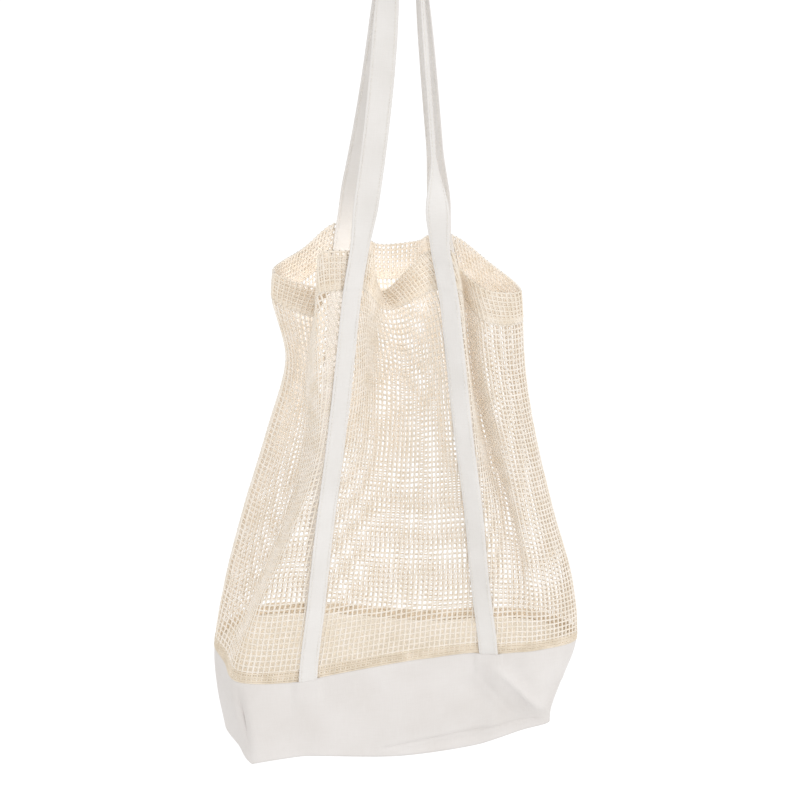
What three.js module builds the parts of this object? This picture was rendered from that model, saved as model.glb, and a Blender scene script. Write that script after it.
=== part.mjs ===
// Cotton net tote bag with a canvas base, hanging by its two long handles.
// Millimetres, +Z up, +X to the right and -Y to the front. The origin is the hang point: the underside of
// the handles' loops, where they lie on whatever carries the bag.

import * as THREE from 'three';

// Driving dimensions
const NET_THICK = 2;
const HEM_THICK = 3.2;
const BAND_THICK = 3;
const CANVAS_THICK = 1.8;
const STRAP_THICK = 2.4;
const STRAP_WIDTH = 24;
const SEWN_WIDTH = 19;
const SEWN_GAP = 0.3;
const HANDLE_DROP = 299;
const NET_HEIGHT = 410;
const HEM_HEIGHT = 38;
const BAND_HEIGHT = 10;
const BASE_HEIGHT = 103;
const BOTTOM_SAG = 6;
const LOOP_RADIUS = 12;
const LOOP_PITCH = STRAP_WIDTH + 4;

// How the handles turn, in radians about their own length: in towards the sagging front where they are sewn,
// then to each leg's own free turn, and last over their loop. Shares are of a leg's free length: it opens to
// its full width by OPEN_SHARE and comes to its free turn by RELAX_SHARE. Bows are to the right.
const SEWN_TURN = 0.3;
const FREE_TURN_FLAT = 0;
const FREE_TURN_HALF = -0.85;
const FREE_TURN_EDGE = -1.4;
const OPEN_SHARE = 0.15;
const RELAX_SHARE = 0.32;
const TWIST_POWER = 6;
const BOW_LEFT = 5;
const BOW_RIGHT = 0;

// Facet counts
const BASE_ROWS = 6;
const NET_ROWS = 14;
const HEM_ROWS = 2;
const BOTTOM_STRIPS = 6;
const FREE_ROWS = 12;
const LOOP_ROWS = 8;

const mix = THREE.MathUtils.lerp;
const smooth = THREE.MathUtils.smoothstep;
function table(columns, rows) {
  return rows.map((row) => Object.fromEntries(columns.map((name, i) => [name, row[i]])));
}

// Sections through the bag, from the bottom edge of the base up to the mouth.
// height is above the base's seam. Across, in X: left and right are the side lines, ridge* the front corners,
// valley* the bottoms of the folds beside them and strap* the front handles.
const ACROSS = table([
  'height', 'left', 'right', 'ridgeLeft', 'ridgeRight',
  'valleyLeft', 'valleyRight', 'strapLeft', 'strapRight',
], [
  [-BASE_HEIGHT, -183.5, 147, -153, 150, -168, 122, -90, 84],
  [-BASE_HEIGHT / 2, -191, 163, -165, 140, -178, 117, -93, 85],
  [0, -193, 177, -168, 132, -180.5, 113, -96, 85],
  [70, -181, 172, -142, 130, -156, 119, -88, 77],
  [150, -160, 152, -105, 117, -128, 104.5, -78, 69],
  [230, -136, 134, -80, 102, -107, 79.5, -66, 58],
  [310, -116, 121, -81, 83, -100, 64.5, -57, 49],
  [NET_HEIGHT - HEM_HEIGHT, -128.5, 117, -81, 78, -90, 59.5, -50, 42],
  [NET_HEIGHT, -127, 115, -80, 77, -73, 53, -44, 35],
]);

// The same sections in depth, in Y: front* and back* are the handles' faces, and out* how far a corner stands
// before its handle. sag is how far the front falls in between its handles, bulge how far the back stands
// out between its own, and dip* how far a fold's bottom lies behind the middle of its two banks.
const DEPTHS = table([
  'frontLeft', 'frontRight', 'backLeft', 'backRight', 'outLeft', 'outRight',
  'sag', 'bulge', 'dipLeft', 'dipRight',
], [
  [-70, -30, 50, 56, 5, -20, 0, 0, 0, 0],
  [-73, -44, 60, 52, 2, -10, -2, 2, 0, 0],
  [-70, -50, 62, 48, 0, -6, 2, 2, 0, 0],
  [-66, -50, 60, 48, 0, -6, 18, 8, 14, 10],
  [-60, -50, 56, 48, 2, -6, 34, 18, 21, 24],
  [-54, -48, 50, 47, 4, -6, 44, 28, 21, 31],
  [-48, -45, 46, 45, 7, -8, 50, 36, 22, 32],
  [-44, -43, 43, 43, 10, -10, 42, 34, 24.5, 26],
  [-42, -42, 42, 42, 12, -12, 57, 50, 26, 25],
]);
const SECTIONS = ACROSS.map((section, i) => ({ ...section, ...DEPTHS[i] }));
const BOTTOM = 0;
const SEAM = 2;
const HEM_FOOT = 7;
const MOUTH = 8;

// Stations round the bag, anticlockwise from above: the facets from each to the next, and how far each hangs
// below the level of the bottom edge, the seam, the hem's foot and the mouth.
const STATIONS = table(['name', 'facets', 'atBottom', 'atSeam', 'atHem', 'atMouth'], [
  ['left', 4, -12.8, 4, 15, 27],
  ['leftValley', 3, -2, 14, 34, 44],
  ['leftRidge', 3, 2, 22, 2, 0],
  ['frontLeftOuter', 2, 0, 22, 0, 0],
  ['frontLeftInner', 4, 0, 19, 0, 0],
  ['frontMiddle', 4, 9, 7, 29, 52],
  ['frontRightInner', 2, 6, 0, 0, 0],
  ['frontRightOuter', 2, 0, 0, 0, 0],
  ['rightValley', 2, -6, 0, 14, 22],
  ['rightRidge', 4, -10, 0, 34, 40],
  ['right', 5, -6, 2, 40, 48],
  ['backRightCorner', 4, -4, 0, 22, 26],
  ['backRightOuter', 2, 0, 0, 0, 0],
  ['backRightInner', 3, 0, 0, 0, 0],
  ['backMiddleRight', 2, 0, 4, 11, 16],
  ['backMiddleLeft', 3, 0, 4, 13, 19],
  ['backLeftInner', 2, 0, 0, -8, -8],
  ['backLeftOuter', 4, 0, 0, -12, -12],
  ['backLeftCorner', 5, 0, 0, 8, 12],
]);
const columnOf = (name) => {
  const before = STATIONS.slice(0, STATIONS.findIndex((s) => s.name === name));
  return before.reduce((sum, s) => sum + s.facets, 0);
};
const COLUMNS = STATIONS.reduce((sum, s) => sum + s.facets, 0);
const SIDE_LEFT = columnOf('left');
const SIDE_RIGHT = columnOf('right');

// Where every station of a section lies in plan.
const BACK_SHIFT_LEFT = -14;
const BACK_SHIFT_RIGHT = 3;
const CORNER_SHARE = 0.4;
const CORNER_DEPTH = 0.85;
const SIDE_SHARE = 0.45;
const SAG_SKEW = 0.3;
const MIDDLE_SPREAD = 0.4;
function planOf(s) {
  const up = Math.max(0, s.height) / NET_HEIGHT;
  const backStrapLeft = s.strapLeft + BACK_SHIFT_LEFT * up;
  const backStrapRight = s.strapRight + BACK_SHIFT_RIGHT * up;
  const half = SEWN_WIDTH / 2;
  const turn = SEWN_TURN * smooth(s.height, -BASE_HEIGHT, 0.3 * NET_HEIGHT);
  const across = half * Math.cos(turn);
  const inward = half * Math.sin(turn);
  const middle = (s.strapLeft + s.strapRight) / 2;
  const plan = {
    leftRidge: [s.ridgeLeft, s.frontLeft - s.outLeft],
    rightRidge: [s.ridgeRight, s.frontRight - s.outRight],
    frontLeftOuter: [s.strapLeft - across, s.frontLeft - inward],
    frontLeftInner: [s.strapLeft + across, s.frontLeft + inward],
    frontMiddle: [middle - SAG_SKEW * s.sag, (s.frontLeft + s.frontRight) / 2 + s.sag],
    frontRightInner: [s.strapRight - across, s.frontRight + inward],
    frontRightOuter: [s.strapRight + across, s.frontRight - inward],
    backRightCorner: [mix(s.right, backStrapRight, CORNER_SHARE), s.backRight * CORNER_DEPTH],
    backRightOuter: [backStrapRight + half, s.backRight],
    backRightInner: [backStrapRight - half, s.backRight],
    backMiddleRight: [mix(middle, backStrapRight, MIDDLE_SPREAD), s.backRight + s.bulge],
    backMiddleLeft: [mix(middle, backStrapLeft, MIDDLE_SPREAD), s.backLeft + s.bulge],
    backLeftInner: [backStrapLeft + half, s.backLeft],
    backLeftOuter: [backStrapLeft - half, s.backLeft],
    backLeftCorner: [mix(s.left, backStrapLeft, CORNER_SHARE), s.backLeft * CORNER_DEPTH],
  };
  plan.left = [s.left, mix(plan.leftRidge[1], plan.backLeftCorner[1], SIDE_SHARE)];
  plan.right = [s.right, mix(plan.rightRidge[1], plan.backRightCorner[1], SIDE_SHARE)];
  plan.leftValley = [s.valleyLeft, (plan.leftRidge[1] + plan.left[1]) / 2 + s.dipLeft];
  plan.rightValley = [s.valleyRight, (plan.frontRightOuter[1] + plan.rightRidge[1]) / 2 + s.dipRight];
  return plan;
}

// How far a station hangs below a section's level.
function hangOf(station, height) {
  const hemFoot = NET_HEIGHT - HEM_HEIGHT;
  if (height <= 0) return mix(station.atSeam, station.atBottom, -height / BASE_HEIGHT);
  if (height <= hemFoot) return mix(station.atSeam, station.atHem, height / hemFoot);
  return mix(station.atHem, station.atMouth, (height - hemFoot) / HEM_HEIGHT);
}

// One smooth line up the bag for each station.
const plans = SECTIONS.map(planOf);
const meridians = STATIONS.map((station) => new THREE.CatmullRomCurve3(SECTIONS.map((section, i) => {
  const [x, y] = plans[i][station.name];
  const level = section.height - hangOf(station, section.height);
  return new THREE.Vector3(x, y, level - NET_HEIGHT - HANDLE_DROP);
})));

// The bag's middle surface. A row is a fractional index into SECTIONS, and a column counts facets round from
// the left side.
const loops = new Map();
function loopAt(row) {
  if (!loops.has(row)) {
    const share = row / MOUTH;
    loops.set(row, new THREE.CatmullRomCurve3(meridians.map((m) => m.getPoint(share)), true));
  }
  return loops.get(row);
}

function surfaceAt(column, row) {
  let rest = (column + COLUMNS) % COLUMNS;
  let station = 0;
  while (rest >= STATIONS[station].facets) {
    rest -= STATIONS[station].facets;
    station += 1;
  }
  return loopAt(row).getPoint((station + rest / STATIONS[station].facets) / STATIONS.length);
}

const PROBE = 0.02;
function normalAt(column, row) {
  const along = surfaceAt(column + PROBE, row).sub(surfaceAt(column - PROBE, row));
  const above = surfaceAt(column, Math.min(MOUTH, row + PROBE));
  const below = surfaceAt(column, Math.max(BOTTOM, row - PROBE));
  return along.cross(above.sub(below)).normalize();
}

// Long soft folds in the base's front: each a ridge, or a hollow where its rise is negative, along a line in
// X and Z.
const FOLDS = table(['name', 'fromX', 'fromZ', 'toX', 'toZ', 'width', 'rise'], [
  ['pull from the right handle', 80, -712, 149, -806, 9, 5],
  ['hollow under the pull', 70, -745, 126, -803, 13, -3],
]);
function foldRise({ x, z }) {
  const here = new THREE.Vector3(x, 0, z);
  const foot = new THREE.Vector3();
  let rise = 0;
  for (const fold of FOLDS) {
    const from = new THREE.Vector3(fold.fromX, 0, fold.fromZ);
    const to = new THREE.Vector3(fold.toX, 0, fold.toZ);
    const away = new THREE.Line3(from, to).closestPointToPoint(here, true, foot).distanceTo(here);
    rise += fold.rise * Math.exp(-((away / fold.width) ** 2));
  }
  return rise;
}

// Turns an open sheet into a closed solid, half its thickness to each side. A sheet is a list of points,
// each {at, normal, thick}, and a list of three-cornered faces that look the normals' way.
function solidFrom({ points, faces }) {
  const positions = [];
  for (const side of [0.5, -0.5]) {
    for (const { at, normal, thick } of points) {
      positions.push(...at.clone().addScaledVector(normal, side * thick).toArray());
    }
  }
  const under = points.length;
  const index = [];
  const edges = new Set();
  for (const [a, b, c] of faces) {
    index.push(a, b, c, a + under, c + under, b + under);
    for (const edge of [[a, b], [b, c], [c, a]]) edges.add(edge.join());
  }
  for (const key of edges) {
    const [a, b] = key.split(',').map(Number);
    if (!edges.has(`${b},${a}`)) index.push(b, a, a + under, b, a + under, b + under);
  }
  const geometry = new THREE.BufferGeometry();
  geometry.setAttribute('position', new THREE.Float32BufferAttribute(positions, 3));
  geometry.setIndex(index);
  geometry.computeVertexNormals();
  return geometry;
}

// A sheet from a grid of points: lines that run along the columns, stacked row by row.
function gridSheet(grid) {
  const width = grid[0].length;
  const faces = [];
  for (let r = 0; r + 1 < grid.length; r += 1) {
    for (let c = 0; c + 1 < width; c += 1) {
      const a = r * width + c;
      faces.push([a, a + 1, a + width + 1], [a, a + width + 1, a + width]);
    }
  }
  return { points: grid.flat(), faces };
}

// The net, in rows up from the seam: a folded band along the seam, the plain net, and the hem turned over.
const SEAM_ROW_GAP = 0.003;
const SIDE_COLUMN_GAP = 0.04;
const STEP_ROWS = 0.03;
const bandTop = SEAM + BAND_HEIGHT / (SECTIONS[SEAM + 1].height - SECTIONS[SEAM].height);
const netRows = [SEAM + SEAM_ROW_GAP, bandTop, bandTop + STEP_ROWS];
for (let i = 1; i <= NET_ROWS; i += 1) netRows.push(mix(SEAM, HEM_FOOT, i / NET_ROWS));
netRows.push(HEM_FOOT + STEP_ROWS);
for (let i = 1; i <= HEM_ROWS; i += 1) netRows.push(mix(HEM_FOOT, MOUTH, i / HEM_ROWS));

function netThickAt(row) {
  if (row <= bandTop) return BAND_THICK;
  return row > HEM_FOOT ? HEM_THICK : NET_THICK;
}

function netPanel(from, to) {
  const columns = [from + SIDE_COLUMN_GAP];
  for (let c = from + 1; c < to; c += 1) columns.push(c);
  columns.push(to - SIDE_COLUMN_GAP);
  const pointAt = (c, row) => ({ at: surfaceAt(c, row), normal: normalAt(c, row), thick: netThickAt(row) });
  return solidFrom(gridSheet(netRows.map((row) => columns.map((c) => pointAt(c, row)))));
}

// The canvas base's wall, from the bottom edge up to the seam. Its first COLUMNS points are the bottom edge.
const DOWN = new THREE.Vector3(0, 0, -1);
function baseWall() {
  const points = [];
  const faces = [];
  for (let r = 0; r <= BASE_ROWS; r += 1) {
    const row = r === BASE_ROWS ? SEAM - SEAM_ROW_GAP : mix(BOTTOM, SEAM, r / BASE_ROWS);
    const slack = Math.sin(Math.PI * r / BASE_ROWS);
    for (let c = 0; c < COLUMNS; c += 1) {
      const normal = normalAt(c, row);
      const at = surfaceAt(c, row);
      if (c > SIDE_LEFT && c < SIDE_RIGHT) at.addScaledVector(normal, slack * foldRise(at));
      if (r === 0) normal.add(DOWN).normalize();
      points.push({ at, normal, thick: CANVAS_THICK });
      const a = r * COLUMNS + c;
      const b = r * COLUMNS + (c + 1) % COLUMNS;
      if (r < BASE_ROWS) faces.push([a, b, b + COLUMNS], [a, b + COLUMNS, a + COLUMNS]);
    }
  }
  return { points, faces };
}

// Adds the bottom to the wall: lines of points from each front column to the back column across from it.
// The first and last lines are single points, the wall's own at the sides.
function addBottom({ points, faces }) {
  const lines = [];
  for (let c = SIDE_LEFT; c <= SIDE_RIGHT; c += 1) {
    const back = (COLUMNS - c) % COLUMNS;
    const line = Array(BOTTOM_STRIPS + 1).fill(c);
    for (let s = 1; s < BOTTOM_STRIPS && c !== back; s += 1) {
      const share = s / BOTTOM_STRIPS;
      const at = points[c].at.clone().lerp(points[back].at, share);
      at.z -= BOTTOM_SAG * Math.sin(Math.PI * share) * Math.sin(Math.PI * c / SIDE_RIGHT);
      line[s] = points.push({ at, normal: DOWN, thick: CANVAS_THICK }) - 1;
    }
    line[BOTTOM_STRIPS] = back;
    lines.push(line);
  }
  for (let c = 0; c + 1 < lines.length; c += 1) {
    const [near, far] = [lines[c], lines[c + 1]];
    for (let s = 0; s < BOTTOM_STRIPS; s += 1) {
      if (near[s] !== near[s + 1]) faces.push([near[s], near[s + 1], far[s + 1]]);
      if (far[s] !== far[s + 1]) faces.push([near[s], far[s + 1], far[s]]);
    }
  }
  return { points, faces };
}

// Handles: the front one is sewn to the net's outside, the back one to its inside. facing is -1 in front
// and 1 at the back, and a cross-line is the strap's points from its outer edge to its inner edge.
function sewnLine(columns, row, facing) {
  return columns.map((c) => {
    const normal = normalAt(c, row);
    const lift = -facing * (netThickAt(row) / 2 + SEWN_GAP + STRAP_THICK / 2);
    return { at: surfaceAt(c, row).addScaledVector(normal, lift), normal, thick: STRAP_THICK };
  });
}

function freeLine(middle, along, acrossHint, width) {
  const normal = acrossHint.clone().cross(along).normalize();
  const across = along.clone().cross(normal).normalize();
  return [-0.5, 0, 0.5].map((share) => (
    { at: middle.clone().addScaledVector(across, share * width), normal, thick: STRAP_THICK }));
}

// One leg from the mouth up to its loop, with its cross-lines facing the way that the handle travels.
function freeLeg(leg, mouthLine, end, facing) {
  const start = mouthLine[1].at;
  const along = end.clone().sub(start).normalize().multiplyScalar(leg.travel);
  const edge = mouthLine[2].at.clone().sub(mouthLine[0].at);
  const mouthTurn = Math.atan2(-facing * edge.y, leg.side * edge.x);
  const lines = [];
  for (let i = 1; i <= FREE_ROWS; i += 1) {
    const share = i / FREE_ROWS;
    const relaxed = mix(mouthTurn, leg.freeTurn, smooth(share, 0, RELAX_SHARE));
    const turn = mix(relaxed, -Math.PI / 2, share ** TWIST_POWER);
    const hint = new THREE.Vector3(leg.side * Math.cos(turn), -facing * Math.sin(turn), 0);
    const width = mix(SEWN_WIDTH, STRAP_WIDTH, smooth(share, 0, OPEN_SHARE));
    const middle = start.clone().lerp(end, share);
    middle.x += leg.bow * Math.sin(Math.PI * share);
    lines.push(freeLine(middle, along, hint, width));
  }
  return lines;
}

// A whole handle: up its first leg, over the loop and down its second.
function handle(first, second, facing) {
  const radius = LOOP_RADIUS + STRAP_THICK / 2;
  const centre = new THREE.Vector3(0, facing * LOOP_PITCH / 2, -LOOP_RADIUS);
  const onLoop = (angle) => centre.clone().add(
    new THREE.Vector3(-first.side * radius * Math.cos(angle), 0, radius * Math.sin(angle)));
  const [up, down] = [first, second].map((leg) => {
    const sewn = netRows.map((row) => sewnLine(leg.columns, row, facing));
    const mouth = sewn[sewn.length - 1];
    const lean = Math.atan2(Math.abs(mouth[1].at.x) - radius, centre.z - mouth[1].at.z);
    const angle = leg === first ? lean : Math.PI - lean;
    return { angle, lines: [...sewn, ...freeLeg(leg, mouth, onLoop(angle), facing)] };
  });
  const over = [];
  for (let i = 1; i < LOOP_ROWS; i += 1) {
    const angle = mix(up.angle, down.angle, i / LOOP_ROWS);
    const along = new THREE.Vector3(first.side * Math.sin(angle), 0, Math.cos(angle));
    over.push(freeLine(onLoop(angle), along, new THREE.Vector3(0, facing, 0), STRAP_WIDTH));
  }
  return solidFrom(gridSheet([...up.lines, ...over, ...down.lines.reverse()]));
}

const group = new THREE.Group();
const cloth = (color) => new THREE.MeshStandardMaterial({ color, roughness: 0.95, metalness: 0 });
const netCloth = cloth(0xeadcc6);
const canvas = cloth(0xe8e4e0);

function add(name, geometry, material) {
  const mesh = new THREE.Mesh(geometry, material);
  mesh.name = name;
  group.add(mesh);
}

// A handle's leg: the way to its inner edge in X, the way it is travelled, and its turn and bow when free.
function legAt(name, side, travel, freeTurn, bow) {
  const first = columnOf(name);
  return { side, travel, freeTurn, bow, columns: [first, first + travel, first + 2 * travel] };
}
const frontLeft = legAt('frontLeftOuter', 1, 1, FREE_TURN_FLAT, BOW_LEFT);
const frontRight = legAt('frontRightOuter', -1, -1, FREE_TURN_EDGE, BOW_RIGHT);
const backRight = legAt('backRightOuter', -1, 1, FREE_TURN_HALF, BOW_RIGHT);
const backLeft = legAt('backLeftOuter', 1, -1, FREE_TURN_FLAT, BOW_LEFT);

add('front_net', netPanel(SIDE_LEFT, SIDE_RIGHT), netCloth);
add('back_net', netPanel(SIDE_RIGHT, COLUMNS), netCloth);
add('canvas_base', solidFrom(addBottom(baseWall())), canvas);
add('front_strap', handle(frontLeft, frontRight, -1), canvas);
add('back_strap', handle(backRight, backLeft, 1), canvas);

export default group;
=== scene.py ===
# Looks of a cotton net tote bag: net strands, a canvas base, long handles and their stitches.
# Metres, in the part's frame: +Z up, +X to the right, -Y to the front, the origin where the handles hang.
import math

import bpy
import numpy as np
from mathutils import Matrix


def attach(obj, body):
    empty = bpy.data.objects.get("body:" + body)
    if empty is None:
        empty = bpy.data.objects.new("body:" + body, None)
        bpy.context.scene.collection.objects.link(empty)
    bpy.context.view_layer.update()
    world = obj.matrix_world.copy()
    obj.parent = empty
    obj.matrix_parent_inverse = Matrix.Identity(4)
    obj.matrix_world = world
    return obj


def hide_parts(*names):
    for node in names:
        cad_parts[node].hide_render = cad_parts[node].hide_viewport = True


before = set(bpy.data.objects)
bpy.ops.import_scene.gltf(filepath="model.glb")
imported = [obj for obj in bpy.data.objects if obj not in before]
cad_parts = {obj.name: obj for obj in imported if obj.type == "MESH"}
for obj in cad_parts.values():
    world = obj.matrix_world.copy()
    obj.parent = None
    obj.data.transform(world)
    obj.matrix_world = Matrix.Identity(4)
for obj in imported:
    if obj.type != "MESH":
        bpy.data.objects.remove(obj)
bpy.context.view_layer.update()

# Driving sizes, as in the part
NET_HEIGHT = 0.410
HEM_HEIGHT = 0.038
BAND_HEIGHT = 0.010
BASE_HEIGHT = 0.103
HANDLE_DROP = 0.299
BOTTOM_SAG = 0.006
STRAP_WIDTH = 0.024
SEWN_WIDTH = 0.019
STRAP_THICK = 0.0024
CANVAS_THICK = 0.0018
NET_THICK = 0.0020
BAND_THICK = 0.0030
HEM_THICK = 0.0032
SEWN_GAP = 0.0003
LOOP_RADIUS = 0.012
LOOP_SPACE = 0.004
LOOP_PITCH = STRAP_WIDTH + LOOP_SPACE

# How the handles turn about their own length, in radians, and how far they bow to the right. OPEN_SHARE and
# RELAX_SHARE are the shares of the free length in which they widen and turn, and a higher TWIST_POWER keeps
# their last twist closer to the loop.
SEWN_TURN = 0.3
FREE_TURN_FLAT = 0.0
FREE_TURN_HALF = -0.85
FREE_TURN_EDGE = -1.4
OPEN_SHARE = 0.15
RELAX_SHARE = 0.32
TWIST_POWER = 6
BOW_LEFT = 0.005
BOW_RIGHT = 0.0

# The net's count: wales run up, wefts run round. EDGE_WALE is how far the wefts reach past the end wales, in
# squares of the net.
WALES = 82
NET_KNOTS = 67
HEM_KNOTS = 7
ALL_KNOTS = NET_KNOTS + HEM_KNOTS
EDGE_WALE = 0.2
WALE_RADIUS = 0.00088
KNOT_RADIUS = 0.00112
WEFT_RADIUS = 0.00086
WALE_SIDES = 6
WEFT_SIDES = 5

# Camera and light
CAMERA_AIM = (-0.0038, 0.0, -0.4586)
CAMERA_DISTANCE = 2.0
CAMERA_ELEVATION = math.radians(15)
CAMERA_LENS = 90
CAMERA_SENSOR = 36
FLOOR_LEVEL = -1.15
FLOOR_REACH = 60.0
FLOOR_COLOUR = (0.96, 0.96, 0.96, 1)
SKY_STRENGTH = 1.0
SUN_STRENGTH = 0.74
SUN_ANGLE = math.radians(50)
SUN_TOWARDS = (0.45, -0.63, 0.62)
GLOW_FRONT_SHARE = 0.5
LIGHT_BOUNCES = 12


def table(names, rows):
    """Named columns from rows of numbers."""
    return dict(zip(names.split(), np.array(rows, float).T))


# Lamps inside the bag and one in the fold of its front, each facing back and front, that stand for the light
# its cotton lets through.
# power is in watts for each square metre.
GLOWS = table("power width height x y z", [
    (2.2, .05, .05, -.050, .010, -.310),
    (1.1, .10, .04, -.002, .024, -.335),
    (2.3, .05, .04, .073, -.002, -.335),
    (2.9, .05, .04, -.084, -.002, -.335),
    (1.4, .17, .09, -.026, .022, -.405),
    (1.0, .21, .08, -.019, .018, -.490),
    (0.4, .29, .09, -.004, .014, -.580),
    (0.4, .33, .09, -.006, .010, -.670),
    (0.7, .31, .03, -.008, .020, -.715),
    (0.7, .31, .07, -.010, .008, -.750),
    (0.6, .07, .12, -.008, .055, -.360),
    (1.1, .05, .06, -.004, -.040, -.335),
    (0.5, .03, .07, -.108, .005, -.390),
    (0.4, .03, .09, -.126, .010, -.470),
    (0.4, .03, .09, -.148, .010, -.560),
    (0.4, .03, .09, -.170, .010, -.650),
])

# Sections through the bag, from the bottom edge of the base up to the mouth.
# height is above the base's seam. Across, in X: left and right are the side lines, ridge* the front corners,
# valley* the bottoms of the folds beside them and strap* the front handles.
ACROSS = table("height left right ridge_left ridge_right valley_left valley_right strap_left strap_right", [
    (-.103, -.1835, .147, -.153, .150, -.168, .122, -.090, .084),
    (-.0515, -.191, .163, -.165, .140, -.178, .117, -.093, .085),
    (0, -.193, .177, -.168, .132, -.1805, .113, -.096, .085),
    (.070, -.181, .172, -.142, .130, -.156, .119, -.088, .077),
    (.150, -.160, .152, -.105, .117, -.128, .1045, -.078, .069),
    (.230, -.136, .134, -.080, .102, -.107, .0795, -.066, .058),
    (.310, -.116, .121, -.081, .083, -.100, .0645, -.057, .049),
    (.372, -.1285, .117, -.081, .078, -.090, .0595, -.050, .042),
    (.410, -.127, .115, -.080, .077, -.073, .053, -.044, .035),
])

# The same sections in depth, in Y: front* and back* are the handles' faces, and out* how far a corner stands
# before its handle. sag is how far the front falls in between its handles, bulge how far the back stands
# out between its own, and dip* how far a fold's bottom lies behind the middle of its two banks.
DEPTH_NAMES = "front_left front_right back_left back_right out_left out_right sag bulge dip_left dip_right"
DEPTHS = table(DEPTH_NAMES, [
    (-.070, -.030, .050, .056, .005, -.020, 0, 0, 0, 0),
    (-.073, -.044, .060, .052, .002, -.010, -.002, .002, 0, 0),
    (-.070, -.050, .062, .048, 0, -.006, .002, .002, 0, 0),
    (-.066, -.050, .060, .048, 0, -.006, .018, .008, .014, .010),
    (-.060, -.050, .056, .048, .002, -.006, .034, .018, .021, .024),
    (-.054, -.048, .050, .047, .004, -.006, .044, .028, .021, .031),
    (-.048, -.045, .046, .045, .007, -.008, .050, .036, .022, .032),
    (-.044, -.043, .043, .043, .010, -.010, .042, .034, .0245, .026),
    (-.042, -.042, .042, .042, .012, -.012, .057, .050, .026, .025),
])
SECTIONS = {**ACROSS, **DEPTHS}

# The sections at the base's bottom edge, its seam, the hem's foot and the mouth
BOTTOM, SEAM, HEM_FOOT, MOUTH = 0, 2, 7, 8

# Stations round the bag, anticlockwise from above: the facets from each to the next in the part, and how far
# each hangs below the level of the bottom edge, the seam, the hem's foot and the mouth.
STATIONS = {
    "left": (4, -.0128, .004, .015, .027),
    "left_valley": (3, -.002, .014, .034, .044),
    "left_ridge": (3, .002, .022, .002, 0),
    "front_left_outer": (2, 0, .022, 0, 0),
    "front_left_inner": (4, 0, .019, 0, 0),
    "front_middle": (4, .009, .007, .029, .052),
    "front_right_inner": (2, .006, 0, 0, 0),
    "front_right_outer": (2, 0, 0, 0, 0),
    "right_valley": (2, -.006, 0, .014, .022),
    "right_ridge": (4, -.010, 0, .034, .040),
    "right": (5, -.006, .002, .040, .048),
    "back_right_corner": (4, -.004, 0, .022, .026),
    "back_right_outer": (2, 0, 0, 0, 0),
    "back_right_inner": (3, 0, 0, 0, 0),
    "back_middle_right": (2, 0, .004, .011, .016),
    "back_middle_left": (3, 0, .004, .013, .019),
    "back_left_inner": (2, 0, 0, -.008, -.008),
    "back_left_outer": (4, 0, 0, -.012, -.012),
    "back_left_corner": (5, 0, 0, .008, .012),
}
STATION_NAMES = list(STATIONS)
STATION_COUNT = len(STATION_NAMES)
SIDE_LEFT = 0
SIDE_RIGHT = STATION_NAMES.index("right")

# Long soft folds in the base's front: each a ridge, or a hollow where its rise is negative, along a line in
# X and Z.
FOLDS = table("from_x from_z to_x to_z width rise", [
    (.082, -.712, .139, -.779, .009, .005),
    (.070, -.745, .126, -.803, .013, -.003),
    (.096, -.728, .137, -.774, .0030, .0030),
    (.072, -.728, .118, -.788, .0040, -.0009),
    (-.020, -.811, .135, -.793, .0024, -.0050),
    (.000, -.817, .138, -.802, .0060, -.0080),
    (-.1705, -.722, -.160, -.806, .0085, -.0095),
    (-.160, -.742, -.151, -.808, .0045, .0016),
    (.158, -.722, .160, -.752, .0040, .0016),
])


# Small helpers


def mix(a, b, share):
    return a + (b - a) * share


def smooth(x, low, high):
    share = np.clip((x - low) / (high - low), 0, 1)
    return share * share * (3 - 2 * share)


def unit(vectors):
    return vectors / np.linalg.norm(vectors, axis=-1, keepdims=True)


def catmull_rom(points, at, closed=False):
    """Centripetal Catmull-Rom curves through points along the first axis, at shares from 0 to 1."""
    spans = len(points) if closed else len(points) - 1
    place = np.asarray(at, float) * spans
    first = np.clip(np.floor(place).astype(int), 0, spans - 1)
    w = (place - first).reshape((-1,) + (1,) * (points.ndim - 1))
    if closed:
        ring = np.concatenate([points[-1:], points, points[:2]])
    else:
        ring = np.concatenate([2 * points[:1] - points[1:2], points, 2 * points[-1:] - points[-2:-1]])
    p0, p1, p2, p3 = (ring[first + k] for k in range(4))
    d0, d1, d2 = (np.sqrt(np.linalg.norm(b - a, axis=-1, keepdims=True)) for a, b in
                  ((p0, p1), (p1, p2), (p2, p3)))
    m1 = ((p1 - p0) / d0 - (p2 - p0) / (d0 + d1) + (p2 - p1) / d1) * d1
    m2 = ((p2 - p1) / d1 - (p3 - p1) / (d1 + d2) + (p3 - p2) / d2) * d1
    cubic = 2 * p1 - 2 * p2 + m1 + m2
    square = -3 * p1 + 3 * p2 - 2 * m1 - m2
    return p1 + w * (m1 + w * (square + w * cubic))


def wander(rng, shape, cell):
    """Smooth random numbers from -1 to 1 on a grid, changing over about cell places."""
    coarse = [max(2, math.ceil(n / cell) + 1) for n in shape]
    values = rng.uniform(-1, 1, coarse)
    for axis, n in enumerate(shape):
        places = np.linspace(0, coarse[axis] - 1, n)
        values = np.apply_along_axis(lambda line: np.interp(places, np.arange(len(line)), line), axis, values)
    return values


def arc_lengths(points):
    """How far along its line each point is; the lines run along the first axis."""
    steps = np.linalg.norm(np.diff(points, axis=0), axis=-1)
    return np.concatenate([np.zeros((1,) + steps.shape[1:]), np.cumsum(steps, axis=0)])


def along_line(points, arcs, wanted):
    return np.stack([np.interp(wanted, arcs, points[:, axis]) for axis in range(3)], axis=-1)


# The bag's middle surface

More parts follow.
